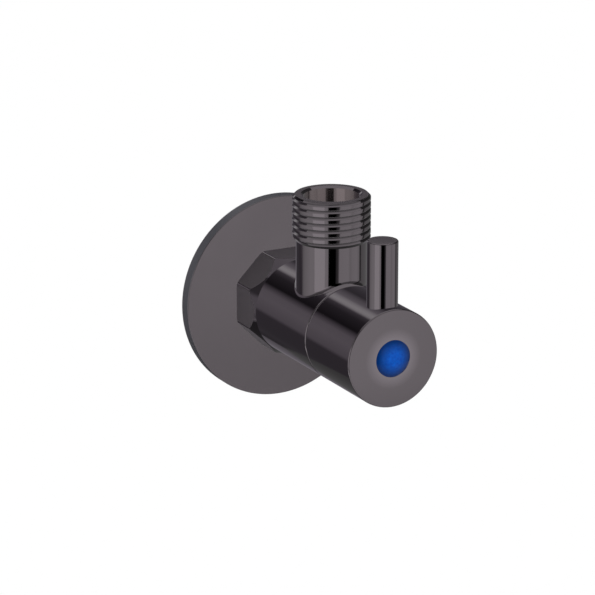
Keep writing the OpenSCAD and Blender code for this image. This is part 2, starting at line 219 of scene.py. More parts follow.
# %% Cut a pipe thread
THREAD_PITCH = 1.814
THREAD_CREST = 10.478
THREAD_DEPTH = 0.66
THREAD_CREST_WIDTH = 0.98
THREAD_FLANK = math.radians(27.5)
THREAD_ROOT_ROUND = 0.04
THREAD_CREST_ROUND = 0.1
THREAD_STEPS = 128
RUN_IN_TURNS = 2.003
EXTRA_TURNS = 3
BISECT_REACH = 0.0001 * MM


def thread_rod(name, axis_name, start, end):
    """A closed rod with a right-hand thread between two places along the Y or Z axis, in mm."""
    root = THREAD_CREST - THREAD_DEPTH
    crest_start = (THREAD_PITCH - THREAD_CREST_WIDTH) / 2
    root_end = crest_start - THREAD_DEPTH * math.tan(THREAD_FLANK)
    foot = (root, root_end)
    shoulder = (THREAD_CREST, crest_start)
    half = [(root, 0), *rounded(foot, (root, 0), shoulder, THREAD_ROOT_ROUND, 3),
        *rounded(shoulder, foot, (THREAD_CREST, THREAD_PITCH / 2), THREAD_CREST_ROUND)]
    tooth = half + [(radius, THREAD_PITCH - along) for radius, along in reversed(half)]
    line = []
    for radius, along in tooth:
        along += start - RUN_IN_TURNS * THREAD_PITCH
        point = (radius, 0, along) if axis_name == "Z" else (radius, along, 0)
        line.append(Vector(point) * MM)
    rod = draw_outline(name, line)
    bpy.ops.object.mode_set(mode="OBJECT")
    screw = rod.modifiers.new("thread", "SCREW")
    screw.axis = axis_name
    screw.steps = screw.render_steps = THREAD_STEPS
    screw.screw_offset = THREAD_PITCH * MM
    screw.iterations = math.ceil((end - start) / THREAD_PITCH) + EXTRA_TURNS
    only(rod)
    bpy.ops.object.modifier_apply(modifier=screw.name)
    bpy.ops.object.mode_set(mode="EDIT")
    bpy.ops.mesh.select_all(action="SELECT")
    bpy.ops.mesh.remove_doubles(threshold=WELD)
    direction = Vector((0, 0, 1)) if axis_name == "Z" else Vector((0, 1, 0))
    for place, keep_above in ((start, True), (end, False)):
        bpy.ops.mesh.select_all(action="SELECT")
        bpy.ops.mesh.bisect(plane_co=direction * place * MM, plane_no=direction, use_fill=True,
            clear_inner=keep_above, clear_outer=not keep_above, threshold=BISECT_REACH)
    weld_and_turn_outwards()
    print(name, "faces:", len(rod.data.polygons), "open edges:", open_edges(rod))
    return rod


# %% [markdown]
# Each finished piece is handed over in the same way: smooth shading that keeps real corners sharp,
# its materials, the body that it moves with, and the CAD node that it stands for. A Weighted Normal
# modifier lets the broad faces set the shading beside a rounded edge. Without it, a flat face looks
# like a pillow.
# In the photograph no piece mirrors another, so the pieces are left out of reflections here. On a
# real valve they would show in each other.

# %% Hand over a finished piece
CORNER_ANGLE = math.radians(30)


def finish_piece(piece, material, body, node, others=()):
    """Shades and dresses a piece, makes it ride on a body and stand for its CAD node.

    others is a list of (material, is_there), and is_there(middle in mm, normal) picks its faces."""
    only(piece)
    bpy.ops.object.shade_smooth_by_angle(angle=CORNER_ANGLE, keep_sharp_edges=True)
    weighted = piece.modifiers.new("flat_faces", "WEIGHTED_NORMAL")
    weighted.keep_sharp = True
    bpy.ops.object.modifier_apply(modifier=weighted.name)
    piece.data.materials.clear()
    piece.data.materials.append(material)
    for index, (other, is_there) in enumerate(others, start=1):
        piece.data.materials.append(other)
        picked = [face for face in piece.data.polygons if is_there(face.center / MM, face.normal)]
        for face in picked:
            face.material_index = index
        print(other.name, "on faces:", len(picked))
    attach(piece, body)
    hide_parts(node)
    piece.visible_glossy = False
    print(piece.name, "faces:", len(piece.data.polygons), "open edges:", open_edges(piece))


def sharpen(piece, angle, is_there):
    """Marks the edges that bend by more than an angle as sharp, where is_there(middle) is true."""
    mesh = bmesh.new()
    mesh.from_mesh(piece.data)
    marked = 0
    for edge in mesh.edges:
        middle = (edge.verts[0].co + edge.verts[1].co) / 2 / MM
        if len(edge.link_faces) == 2 and edge.calc_face_angle() > angle and is_there(middle):
            edge.smooth = False
            marked += 1
    mesh.to_mesh(piece.data)
    mesh.free()
    print(piece.name, "sharp edges marked:", marked)


# %% [markdown]
# Materials. All of them read Object coordinates, which are metres in the model's own frame, so a
# scale of 1000 gives marks of about a millimetre. Two effects are needed in many finishes, and each
# is built once as a node group. The first is the fine rings that a lathe leaves: noise that is read
# in the two coordinates of a turned part, its radius and its place along the axis.

# %% Small helpers for node trees
def add_node(tree, kind, settings=None, **inputs):
    """A node with its settings and constant inputs. An input's spaces are written as underscores."""
    node = tree.nodes.new(kind)
    for key, value in (settings or {}).items():
        setattr(node, key, value)
    for key, value in inputs.items():
        node.inputs[key.replace("_", " ")].default_value = value
    return node


def math_node(tree, operation, first, second=None, third=None):
    """A Math node whose inputs are numbers or the outputs of other nodes."""
    node = add_node(tree, "ShaderNodeMath", {"operation": operation})
    for socket, value in zip(node.inputs, (first, second, third)):
        if isinstance(value, bpy.types.NodeSocket):
            tree.links.new(value, socket)
        elif value is not None:
            socket.default_value = value
    return node.outputs[0]


def new_group(name, inputs, outputs):
    """An empty node group with its sockets: {name: (kind, default)} in and {name: kind} out."""
    tree = bpy.data.node_groups.new(name, "ShaderNodeTree")
    for socket_name, (kind, default) in inputs.items():
        socket = tree.interface.new_socket(socket_name, in_out="INPUT", socket_type=kind)
        socket.default_value = default
    for socket_name, kind in outputs.items():
        tree.interface.new_socket(socket_name, in_out="OUTPUT", socket_type=kind)
    return tree, tree.nodes.new("NodeGroupInput"), tree.nodes.new("NodeGroupOutput")


# %% Node group for the rings left by turning and polishing
def build_turning_marks():
    """Rings about an axis through a point, from 0 to 1, and the distance from that axis."""
    tree, given, result = new_group("turning_marks", {
        "Axis": ("NodeSocketVector", (0, 1, 0)),
        "Centre": ("NodeSocketVector", (0, 0, 0)),
        "Rings per metre": ("NodeSocketFloat", 2500),
    }, {"Rings": "NodeSocketFloat", "Radius": "NodeSocketFloat"})
    place = add_node(tree, "ShaderNodeTexCoord")
    offset = add_node(tree, "ShaderNodeVectorMath", {"operation": "SUBTRACT"})
    tree.links.new(place.outputs["Object"], offset.inputs[0])
    tree.links.new(given.outputs["Centre"], offset.inputs[1])
    along = add_node(tree, "ShaderNodeVectorMath", {"operation": "DOT_PRODUCT"})
    tree.links.new(offset.outputs[0], along.inputs[0])
    tree.links.new(given.outputs["Axis"], along.inputs[1])
    across = add_node(tree, "ShaderNodeVectorMath", {"operation": "CROSS_PRODUCT"})
    tree.links.new(offset.outputs[0], across.inputs[0])
    tree.links.new(given.outputs["Axis"], across.inputs[1])
    radius = add_node(tree, "ShaderNodeVectorMath", {"operation": "LENGTH"})
    tree.links.new(across.outputs[0], radius.inputs[0])
    turned = add_node(tree, "ShaderNodeCombineXYZ")
    tree.links.new(radius.outputs["Value"], turned.inputs["X"])
    tree.links.new(along.outputs["Value"], turned.inputs["Y"])
    noise = add_node(tree, "ShaderNodeTexNoise", {"noise_dimensions": "2D"}, Detail=3)
    tree.links.new(turned.outputs[0], noise.inputs["Vector"])
    tree.links.new(given.outputs["Rings per metre"], noise.inputs["Scale"])
    tree.links.new(noise.outputs[0], result.inputs["Rings"])
    tree.links.new(radius.outputs["Value"], result.inputs["Radius"])
    return tree


turning_marks = build_turning_marks()


# %% [markdown]
# The second effect is what hands and cloths leave on metal: broad, soft patches that dull the shine
# a little, with a finer grain in them.

# %% Node group for wiped and handled surfaces
def build_handling():
    """Broad patches and fine grain, each as a value from 0 to 1."""
    tree, given, result = new_group("handling", {
        "Patches per metre": ("NodeSocketFloat", 90),
        "Grains per metre": ("NodeSocketFloat", 5000),
    }, {"Patches": "NodeSocketFloat", "Grain": "NodeSocketFloat"})
    place = add_node(tree, "ShaderNodeTexCoord")
    for socket_name, rate, detail in (("Patches", "Patches per metre", 2),
            ("Grain", "Grains per metre", 4)):
        noise = add_node(tree, "ShaderNodeTexNoise", Detail=detail)
        tree.links.new(place.outputs["Object"], noise.inputs["Vector"])
        tree.links.new(given.outputs[rate], noise.inputs["Scale"])
        tree.links.new(noise.outputs[0], result.inputs[socket_name])
    return tree


handling = build_handling()


# %% Node group that turns two marks into colour, roughness and height
def build_finish():
    """Mixes two colours by the patches, spreads the roughness, and adds up the height."""
    tree, given, result = new_group("finish_mix", {
        "Colour": ("NodeSocketColor", (1, 1, 1, 1)),
        "Darker colour": ("NodeSocketColor", (1, 1, 1, 1)),
        "Roughness": ("NodeSocketFloat", 0.2),
        "Roughness spread": ("NodeSocketFloat", 0.05),
        "Patches": ("NodeSocketFloat", 0.5),
        "Marks": ("NodeSocketFloat", 0.5),
        "Grain": ("NodeSocketFloat", 0.5),
    }, {"Colour": "NodeSocketColor", "Roughness": "NodeSocketFloat", "Height": "NodeSocketFloat"})
    mix = add_node(tree, "ShaderNodeMix", {"data_type": "RGBA"})
    tree.links.new(given.outputs["Patches"], mix.inputs["Factor"])
    tree.links.new(given.outputs["Colour"], mix.inputs["A"])
    tree.links.new(given.outputs["Darker colour"], mix.inputs["B"])
    tree.links.new(mix.outputs["Result"], result.inputs["Colour"])
    both = math_node(tree, "ADD", given.outputs["Patches"], given.outputs["Marks"])
    centred = math_node(tree, "SUBTRACT", both, 1)
    rough = math_node(tree, "MULTIPLY_ADD", centred, given.outputs["Roughness spread"],
        given.outputs["Roughness"])
    tree.links.new(rough, result.inputs["Roughness"])
    height = math_node(tree, "ADD", given.outputs["Marks"], given.outputs["Grain"])
    tree.links.new(height, result.inputs["Height"])
    return tree


finish_mix = build_finish()


# %% [markdown]
# Every finish is one Principled shader whose colour, roughness and bump come from those groups. What
# is the same all over a piece, such as how metallic it is, is set on the shader itself. A finish may
# change to a second colour between two distances from the axis. The threads use this for painted
# shade, darker in their grooves than on their crests. The button uses it for painted shade, darker
# towards its rim. The handle's face uses it for a painted highlight, lighter round the button.

# %% Make a finish
def sort_colour(values):
    """An RGB triple in linear light as the four numbers of a colour socket."""
    return (*values, 1)


def make_finish(name, colour, darker, roughness, spread, bump_mm, rings=2500, axis=(0, 1, 0),
        centre=(0, 0, 0), patches=90, grains=5000, second=None, **constants):
    """A material. bump_mm is the height of its marks, and constants go to the shader's sockets.

    second is (distance, distance, colour): the finish turns to that colour between them, in mm."""
    material = bpy.data.materials.new(name)
    material.use_nodes = True
    tree = material.node_tree
    shader = tree.nodes["Principled BSDF"]
    for key, value in constants.items():
        shader.inputs[key.replace("_", " ")].default_value = value
    marks = add_node(tree, "ShaderNodeGroup", {"node_tree": turning_marks}, Axis=axis,
        Centre=centre, Rings_per_metre=rings)
    touched = add_node(tree, "ShaderNodeGroup", {"node_tree": handling},
        Patches_per_metre=patches, Grains_per_metre=grains)
    finish = add_node(tree, "ShaderNodeGroup", {"node_tree": finish_mix},
        Colour=sort_colour(colour), Darker_colour=sort_colour(darker), Roughness=roughness,
        Roughness_spread=spread)
    tree.links.new(touched.outputs["Patches"], finish.inputs["Patches"])
    tree.links.new(touched.outputs["Grain"], finish.inputs["Grain"])
    tree.links.new(marks.outputs["Rings"], finish.inputs["Marks"])
    painted = finish.outputs["Colour"]
    if second:
        share = add_node(tree, "ShaderNodeMapRange", From_Min=second[0] * MM, From_Max=second[1] * MM)
        tree.links.new(marks.outputs["Radius"], share.inputs["Value"])
        change = add_node(tree, "ShaderNodeMix", {"data_type": "RGBA"}, B=sort_colour(second[2]))
        tree.links.new(share.outputs["Result"], change.inputs["Factor"])
        tree.links.new(painted, change.inputs["A"])
        painted = change.outputs["Result"]
    tree.links.new(painted, shader.inputs["Base Color"])
    tree.links.new(finish.outputs["Roughness"], shader.inputs["Roughness"])
    bump = add_node(tree, "ShaderNodeBump", Distance=bump_mm * MM)
    tree.links.new(finish.outputs["Height"], bump.inputs["Height"])
    tree.links.new(bump.outputs["Normal"], shader.inputs["Normal"])
    return material


# %% [markdown]
# The finishes of this valve. The metal in the photograph looks like a dark, violet-grey mirror: its
# colour is what it gives back of the light, about an eighth. The flange's face is more satin than the
# turned sides, so it looks even while the sides show sharp bands. The rest was matched: a dull,
# bluish rim, flats and a bore that scatter part of the light, a darker cone on the collar and a
# lighter face round the button.
# The rim's darker, bluer colour and the cone's darker colour are painted shade, and the lighter face
# round the button is a painted highlight.

# %% The finishes
OUTLET_FROM_WALL = 32.9
PIN_FROM_WALL = 60.5
GUNMETAL = ((0.130, 0.115, 0.125), (0.122, 0.107, 0.117))
# Painted shade: the colour of the threads' grooves, darker than the colour of their crests.
GROOVE_PAINTED_SHADE = ((0.070, 0.062, 0.068), (0.060, 0.053, 0.058))
CREST = (9.8, 10.35, (0.128, 0.113, 0.123))
gunmetal = make_finish("gunmetal", *GUNMETAL, 0.07, 0.03, 0.0008, Metallic=1.0)
gunmetal_flange = make_finish("gunmetal_flange", (0.138, 0.122, 0.132), (0.129, 0.114, 0.124),
    0.22, 0.06, 0.001, Metallic=1.0)
# The flange's rim is painted darker and bluer than its face: painted shade, on a duller and less
# metallic finish.
flange_rim_painted_shade = make_finish("flange_rim_painted_shade", (0.074, 0.074, 0.086), (0.066, 0.066, 0.077), 0.5, 0.08,
    0.001, Metallic=0.35)
outlet_axis = {"axis": (0, 0, 1), "centre": (0, -OUTLET_FROM_WALL * MM, 0)}
# Both threads are painted darker in their grooves and keep the metal's colour on their crests. This is
# painted shade.
gunmetal_thread_painted_shade = make_finish("gunmetal_thread_painted_shade", *GROOVE_PAINTED_SHADE, 0.09, 0.04, 0.0008, second=CREST,
    Metallic=1.0, **outlet_axis)
gunmetal_tail_painted_shade = make_finish("gunmetal_tail_painted_shade", *GROOVE_PAINTED_SHADE, 0.09, 0.04, 0.0008, second=CREST,
    Metallic=1.0)
gunmetal_bore = make_finish("gunmetal_bore", (0.140, 0.115, 0.118), (0.125, 0.102, 0.104), 0.1,
    0.06, 0.0015, rings=1500, Metallic=0.8, **outlet_axis)
# The cone in front of the collar is painted darker than the turned metal: painted shade.
gunmetal_cone_painted_shade = make_finish("gunmetal_cone_painted_shade", (0.072, 0.062, 0.072), (0.060, 0.051, 0.060), 0.12, 0.06,
    0.001, Metallic=1.0)
# The handle's face is painted lighter round the button, fading out by 8.2 mm from the axis: a painted
# highlight.
gunmetal_face_painted_highlight = make_finish("gunmetal_face_painted_highlight", (0.200, 0.178, 0.196), (0.190, 0.169, 0.186), 0.08,
    0.03, 0.0008, second=(5.0, 8.2, (0.131, 0.116, 0.126)), Metallic=1.0)
gunmetal_milled = make_finish("gunmetal_milled", (0.135, 0.120, 0.129), (0.122, 0.107, 0.117), 0.34,
    0.08, 0.0015, Metallic=0.62)
gunmetal_pin = make_finish("gunmetal_pin", *GUNMETAL, 0.07, 0.03, 0.0008, axis=(0, 0, 1),
    centre=(0, -PIN_FROM_WALL * MM, 0), Metallic=1.0)
# The button is painted darker from the middle of its dome out to its rim: painted shade.
blue_plastic = make_finish("blue_plastic", (0.002, 0.140, 0.70), (0.0003, 0.050, 0.38), 0.14, 0.05,
    0.003, patches=1400, second=(1.6, 4.6, (0.0008, 0.028, 0.15)), Specular_IOR_Level=0.1)
brass = make_finish("turned_brass", (0.62, 0.42, 0.17), (0.50, 0.32, 0.12), 0.28, 0.1, 0.003,
    Metallic=1.0)
steel = make_finish("turned_steel", (0.55, 0.55, 0.56), (0.47, 0.47, 0.48), 0.24, 0.1, 0.003,
    Metallic=1.0)
rubber = make_finish("black_rubber", (0.020, 0.020, 0.021), (0.030, 0.030, 0.031), 0.62, 0.12,
    0.01, patches=400)
ceramic = make_finish("white_ceramic", (0.80, 0.79, 0.75), (0.74, 0.73, 0.69), 0.14, 0.06, 0.001,
    Coat_Weight=0.3)
print("finishes:", len(bpy.data.materials))

# %% [markdown]
# The cover flange is made as if pressed from sheet: a flat face, a rounded edge, a rim that reaches
# back to the wall, and a hub round the tail. Only its face and edge show in the photograph, so the
# hollow back is a guess. It is one turned ring.

# %% Cover flange
flange_low, flange_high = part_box("wall_flange")
FLANGE_RADIUS = flange_high.x / MM
FLANGE_DEPTH = -flange_low.y / MM
FLANGE_HOLE = 10.778
FLANGE_SHEET = 1.2
FLANGE_EDGE = 0.25
FLANGE_BACK_BEVEL = 0.15
FLANGE_HOLE_BEVEL = 0.2
RIM_REACH = 0.3
flange_outer_edge = rounded((FLANGE_RADIUS, FLANGE_DEPTH), (FLANGE_RADIUS, 0),
    (FLANGE_HOLE, FLANGE_DEPTH), FLANGE_EDGE, 8)
wall_side = FLANGE_DEPTH - FLANGE_SHEET
flange = turn("cover_flange", [
    (FLANGE_HOLE, 0), (FLANGE_HOLE + FLANGE_SHEET, 0), (FLANGE_HOLE + FLANGE_SHEET, wall_side),
    (FLANGE_RADIUS - FLANGE_SHEET, wall_side), (FLANGE_RADIUS - FLANGE_SHEET, FLANGE_BACK_BEVEL),
    (FLANGE_RADIUS - FLANGE_SHEET + FLANGE_BACK_BEVEL, 0), (FLANGE_RADIUS - FLANGE_BACK_BEVEL, 0),
    (FLANGE_RADIUS, FLANGE_BACK_BEVEL), *flange_outer_edge,
    (FLANGE_HOLE + FLANGE_HOLE_BEVEL, FLANGE_DEPTH), (FLANGE_HOLE, FLANGE_DEPTH - FLANGE_HOLE_BEVEL),
    (FLANGE_HOLE, 0)])


def on_flange_rim(p, normal):
    """True on the flange's outer rim."""
    return abs(normal.y) < 0.5 and math.hypot(p.x, p.z) > FLANGE_RADIUS - RIM_REACH


finish_piece(flange, gunmetal_flange, "flange", "wall_flange",
    [(flange_rim_painted_shade, on_flange_rim)])

# %% [markdown]
# The body starts as one turned bar: the plain neck in the flange, the collar with its cone, the
# barrel, the step at its front and the neck that the handle turns over, with a groove for the rubber
# ring that keeps dirt out.

# %% Body: the turned bar
handle_low, handle_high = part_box("handle_shell")
BARREL_RADIUS = handle_high.x / MM
BODY_FRONT = 43.0
PLAIN_NECK = 9.978
BAR_BACK = -1.2
PLAIN_NECK_BACK = -0.4
PLAIN_NECK_BEVEL = 0.8
COLLAR_START = 3.6
COLLAR_FLATS = 27.0
COLLAR_END = 11.0
TAPER_END = 14.6
HALF_FLAT = math.radians(22.5)
COLLAR_CORNER = COLLAR_FLATS / 2 / math.cos(HALF_FLAT)
FRONT_NECK = 10.7
NECK_END = 50.0
GROOVE_FLOOR = 9.9
GROOVE_START = 45.85
GROOVE_END = 47.15
EDGE = 0.35
front_edge = rounded((BARREL_RADIUS, BODY_FRONT), (BARREL_RADIUS, TAPER_END),
    (FRONT_NECK, BODY_FRONT), EDGE)
body = turn("valve_body_dressed", [
    (0, BAR_BACK), (PLAIN_NECK - PLAIN_NECK_BEVEL, BAR_BACK), (PLAIN_NECK, PLAIN_NECK_BACK),
    (PLAIN_NECK, COLLAR_START),
    (COLLAR_CORNER - EDGE, COLLAR_START), (COLLAR_CORNER, COLLAR_START + EDGE),
    (COLLAR_CORNER, COLLAR_END), (BARREL_RADIUS, TAPER_END), *front_edge,
    (FRONT_NECK, BODY_FRONT), (FRONT_NECK, GROOVE_START), (GROOVE_FLOOR, GROOVE_START),
    (GROOVE_FLOOR, GROOVE_END), (FRONT_NECK, GROOVE_END), (FRONT_NECK, NECK_END - EDGE),
    (FRONT_NECK - EDGE, NECK_END), (0, NECK_END)])
print("barrel radius, mm:", round(BARREL_RADIUS, 2), "open edges:", open_edges(body))

# %% [markdown]
# The collar against the flange has eight flats for a wrench. They are milled across the turned
# collar and run out on its cone, which gives their curved front edges. The cutter here is a thick
# tube with an eight-sided hole, its corners softened with a bevel, and it mills all eight at once.

# %% Body: mill the eight wrench flats
SHARP_ANGLE = math.radians(8)
PAST_CONE = 0.6
COLLAR_ROOM = 0.1
FLATS_LENGTH = 30
FLATS_MIDDLE = 10
CUTTER_RADIUS = 20
CUTTER_BACK = -3
PAST = 0.5
start_clean()
bpy.ops.mesh.primitive_cylinder_add(vertices=8, radius=COLLAR_CORNER * MM, depth=FLATS_LENGTH * MM,
    location=(0, -FLATS_MIDDLE * MM, 0), rotation=(math.pi / 2, 0, 0))
flats = bpy.context.object
bpy.ops.object.transform_apply(location=True, rotation=True, scale=True)
corner_up = max(v.co.z for v in flats.data.vertices) > COLLAR_CORNER * MM * 0.99
if corner_up:
    flats.data.transform(Matrix.Rotation(HALF_FLAT, 4, "Y"))
bpy.ops.object.mode_set(mode="EDIT")
bpy.ops.mesh.select_mode(type="EDGE")
bpy.ops.mesh.select_all(action="DESELECT")
bpy.ops.object.mode_set(mode="OBJECT")
for edge in flats.data.edges:
    one, other = (flats.data.vertices[i].co for i in edge.vertices)
    edge.select = abs(one.y - other.y) > FLATS_LENGTH / 2 * MM
bpy.ops.object.mode_set(mode="EDIT")
bpy.ops.mesh.bevel(offset=EDGE * MM, segments=4, affect="EDGES")
bpy.ops.object.mode_set(mode="OBJECT")
cutter = turn("flat_cutter", [(0, CUTTER_BACK), (CUTTER_RADIUS, CUTTER_BACK),
    (CUTTER_RADIUS, TAPER_END + PAST), (0, TAPER_END + PAST)], steps=48)
combine(cutter, flats, "DIFFERENCE")
combine(body, cutter, "DIFFERENCE")
print("collar corner radius, mm:", round(COLLAR_CORNER, 2), "open edges:", open_edges(body))

# %% [markdown]
# The outlet is a tube that stands on the barrel and ends in the thread for the cistern's hose. The
# tail behind the flange carries the same thread. A die cuts a thread on a bar whose ends are bevelled
# first, so each rod with teeth is cut by such a bar, which also gives the run-out at the tube.

# %% Body: outlet tube
OUTLET_TOP = 36.3
OUTLET_THREAD_START = 23.9
OUTLET_TUBE = 9.5
TAIL_LENGTH = 22.0
THREAD_BEVEL = 0.7
CREST_ROOM = 0.1
TUBE_SHOULDER = 0.1
TUBE_TIP = 0.6
INTO_THREAD = 0.5
tube = turn("outlet_tube", [
    (0, 0), (OUTLET_TUBE, 0), (OUTLET_TUBE, OUTLET_THREAD_START - TUBE_SHOULDER),
    (OUTLET_TUBE - TUBE_TIP, OUTLET_THREAD_START + INTO_THREAD),
    (0, OUTLET_THREAD_START + INTO_THREAD)], upright(OUTLET_FROM_WALL))
combine(body, tube, "UNION")
print("with the tube, open edges:", open_edges(body))

# %% [markdown]
# A casting has no sharp inner corner where the tube leaves the barrel: there is a fillet, as if a
# small ball had rolled round in the corner. A bevel can't follow this saddle-shaped edge through the
# many faces that meet there, so the fillet is made as a ring of its own. Its sections are arcs of the
# ball between where it touches the tube and where it touches the barrel. It reaches a hair into both,
# so that the union is clean, and it is cut off at the barrel's front.

# %% Body: fillet at the foot of the tube
FILLET = 1.6
FILLET_STEPS = 8
HAIR = 0.015
INSIDE = 0.6
FRONT_ROOM = 0.1
ring_points = []
for i in range(TURN_STEPS):
    way = Vector((math.cos(math.tau * i / TURN_STEPS), math.sin(math.tau * i / TURN_STEPS), 0))
    centre = way * (OUTLET_TUBE + FILLET - HAIR)
    centre.z = math.sqrt((BARREL_RADIUS + FILLET - HAIR) ** 2 - centre.x ** 2)
    to_barrel = -Vector((centre.x, 0, centre.z)).normalized()
    section = [centre + (-way).slerp(to_barrel, step / FILLET_STEPS) * FILLET
        for step in range(FILLET_STEPS + 1)]
    section.append(section[-1] + to_barrel * INSIDE)
    inner = way * (OUTLET_TUBE - INSIDE)
    corner_height = math.sqrt(BARREL_RADIUS ** 2 - inner.x ** 2) - 2 * INSIDE
    section.append(inner + Vector((0, 0, corner_height)))
    section.append(inner + Vector((0, 0, centre.z)))
    ring_points += [(point - Vector((0, OUTLET_FROM_WALL, 0))) * MM for point in section]
per_section = FILLET_STEPS + 4
ring_faces = []
for i in range(TURN_STEPS):
    here = i * per_section
    following = (i + 1) % TURN_STEPS * per_section
    for j in range(per_section):
        k = (j + 1) % per_section
        ring_faces.append((here + j, here + k, following + k, following + j))
ring_mesh = bpy.data.meshes.new("tube_fillet")
ring_mesh.from_pydata(ring_points, [], ring_faces)
fillet = bpy.data.objects.new("tube_fillet", ring_mesh)
bpy.context.collection.objects.link(fillet)
only(fillet)
bpy.ops.object.mode_set(mode="EDIT")
weld_and_turn_outwards()
bpy.ops.object.mode_set(mode="EDIT")
bpy.ops.mesh.select_all(action="SELECT")
bpy.ops.mesh.bisect(plane_co=(0, -(BODY_FRONT - FRONT_ROOM) * MM, 0), plane_no=(0, 1, 0),
    use_fill=True, clear_inner=True, threshold=BISECT_REACH)
weld_and_turn_outwards()
print("fillet, open edges:", open_edges(fillet))
combine(body, fillet, "UNION")
print("with the fillet, open edges:", open_edges(body))

# %% Body: both threads
ROD_BEFORE = 2
ROD_BEYOND = 1
BLANK_BELOW = 0.4
BLANK_INSET = 0.2
TAIL_RUN_OUT = 0.8
TAIL_INSET = 0.3
outlet_thread = thread_rod("outlet_thread", "Z", OUTLET_THREAD_START - ROD_BEFORE,
    OUTLET_TOP + ROD_BEYOND)
only(outlet_thread)
bpy.ops.object.mode_set(mode="EDIT")
bpy.ops.mesh.select_all(action="SELECT")
bpy.ops.transform.translate(value=(0, -OUTLET_FROM_WALL * MM, 0))
bpy.ops.object.mode_set(mode="OBJECT")
thread_limit = THREAD_CREST + CREST_ROOM
outlet_blank = turn("outlet_blank", [
    (0, OUTLET_THREAD_START - BLANK_BELOW),
    (OUTLET_TUBE - BLANK_INSET, OUTLET_THREAD_START - BLANK_BELOW),
    (thread_limit, OUTLET_THREAD_START + thread_limit - OUTLET_TUBE - BLANK_INSET),
    (thread_limit, OUTLET_TOP - THREAD_BEVEL - CREST_ROOM),
    (THREAD_CREST - THREAD_BEVEL, OUTLET_TOP), (0, OUTLET_TOP)], upright(OUTLET_FROM_WALL))
combine(outlet_thread, outlet_blank, "INTERSECT")
print("outlet thread, open edges:", open_edges(outlet_thread))
combine(body, outlet_thread, "UNION")
print("with the outlet thread, open edges:", open_edges(body))

tail_thread = thread_rod("tail_thread", "Y", -ROD_BEFORE, TAIL_LENGTH + ROD_BEYOND)
tail_blank = turn("tail_blank", [
    (0, -TAIL_LENGTH), (THREAD_CREST - THREAD_BEVEL, -TAIL_LENGTH),
    (thread_limit, -TAIL_LENGTH + THREAD_BEVEL + CREST_ROOM), (thread_limit, -TAIL_RUN_OUT),
    (PLAIN_NECK - TAIL_INSET, 0), (0, 0)])
combine(tail_thread, tail_blank, "INTERSECT")
print("tail thread, open edges:", open_edges(tail_thread))
combine(body, tail_thread, "UNION")
print("body faces:", len(body.data.polygons), "open edges:", open_edges(body))

# %% [markdown]
# Last come the waterways: from the tail to the valve seat, the chamber for the ceramic cartridge, and
# the bore down the outlet, with a small bevel at its mouth. The cartridge can be seen through it.

# %% Body: waterways
INLET_BORE = 6.5
SEAT_WAY = 4.8
SEAT_WAY_START = 13
SEAT = 18
CHAMBER = 8.7
OUTLET_BORE = 7.6
MOUTH_BEVEL = 0.6
waterway = turn("waterway", [
    (0, -TAIL_LENGTH - 1), (INLET_BORE, -TAIL_LENGTH - 1), (INLET_BORE, SEAT_WAY_START),
    (SEAT_WAY, SEAT_WAY_START), (SEAT_WAY, SEAT), (CHAMBER, SEAT), (CHAMBER, NECK_END + 1),
    (0, NECK_END + 1)])
combine(body, waterway, "DIFFERENCE")
outlet_bore = turn("outlet_bore", [
    (0, 0), (OUTLET_BORE, 0), (OUTLET_BORE, OUTLET_TOP - MOUTH_BEVEL),
    (OUTLET_BORE + MOUTH_BEVEL + PAST, OUTLET_TOP + PAST), (0, OUTLET_TOP + PAST)],
    upright(OUTLET_FROM_WALL))
combine(body, outlet_bore, "DIFFERENCE")


def on_collar(p):
    """True on the outside of the collar and its cone."""
    return (-TAPER_END - PAST_CONE < p.y < -COLLAR_START + COLLAR_ROOM
        and math.hypot(p.x, p.z) > BARREL_RADIUS - COLLAR_ROOM)


sharpen(body, SHARP_ANGLE, on_collar)
FACING = 0.99
NEAR = 0.01


def on_outlet_thread(p, normal):
    """True in the outlet's thread."""
    return p.z > OUTLET_THREAD_START and math.hypot(p.x, p.y + OUTLET_FROM_WALL) > OUTLET_TUBE


def on_tail_thread(p, normal):
    """True in the thread of the tail."""
    return p.y > -TAIL_RUN_OUT and math.hypot(p.x, p.z) > OUTLET_TUBE


def in_bore(p, normal):
    """True on the wall of the outlet's bore."""
    return p.z > 3 and math.hypot(p.x, p.y + OUTLET_FROM_WALL) < OUTLET_BORE + 0.05


def on_flats(p, normal):
    """True on the eight wrench flats, which are all as far from the axis as half their width."""
    from_axis = p.x * normal.x + p.z * normal.z
    return -TAPER_END < p.y < -COLLAR_START and abs(from_axis - COLLAR_FLATS / 2) < NEAR


def on_cone(p, normal):
    """True on the cone in front of the collar."""
    return -TAPER_END < p.y < -COLLAR_END and -0.5 < normal.y < -0.2


def on_rim(p, normal):
    """True on the flat rim of the outlet."""
    return normal.z > FACING and p.z > OUTLET_TOP - NEAR


finish_piece(body, gunmetal, "body", "valve_body", [
    (gunmetal_thread_painted_shade, on_outlet_thread), (gunmetal_tail_painted_shade, on_tail_thread), (gunmetal_bore, in_bore),
    (gunmetal_milled, on_flats), (gunmetal_cone_painted_shade, on_cone), (gunmetal_milled, on_rim)])

# %% [markdown]
# The handle is a cup with the barrel's diameter. It is turned as a ring, with the room for the
# spindle's clip, the seats of the splined bush, the screw and the button, and then gets a flat seat
# and a hole for the pin.

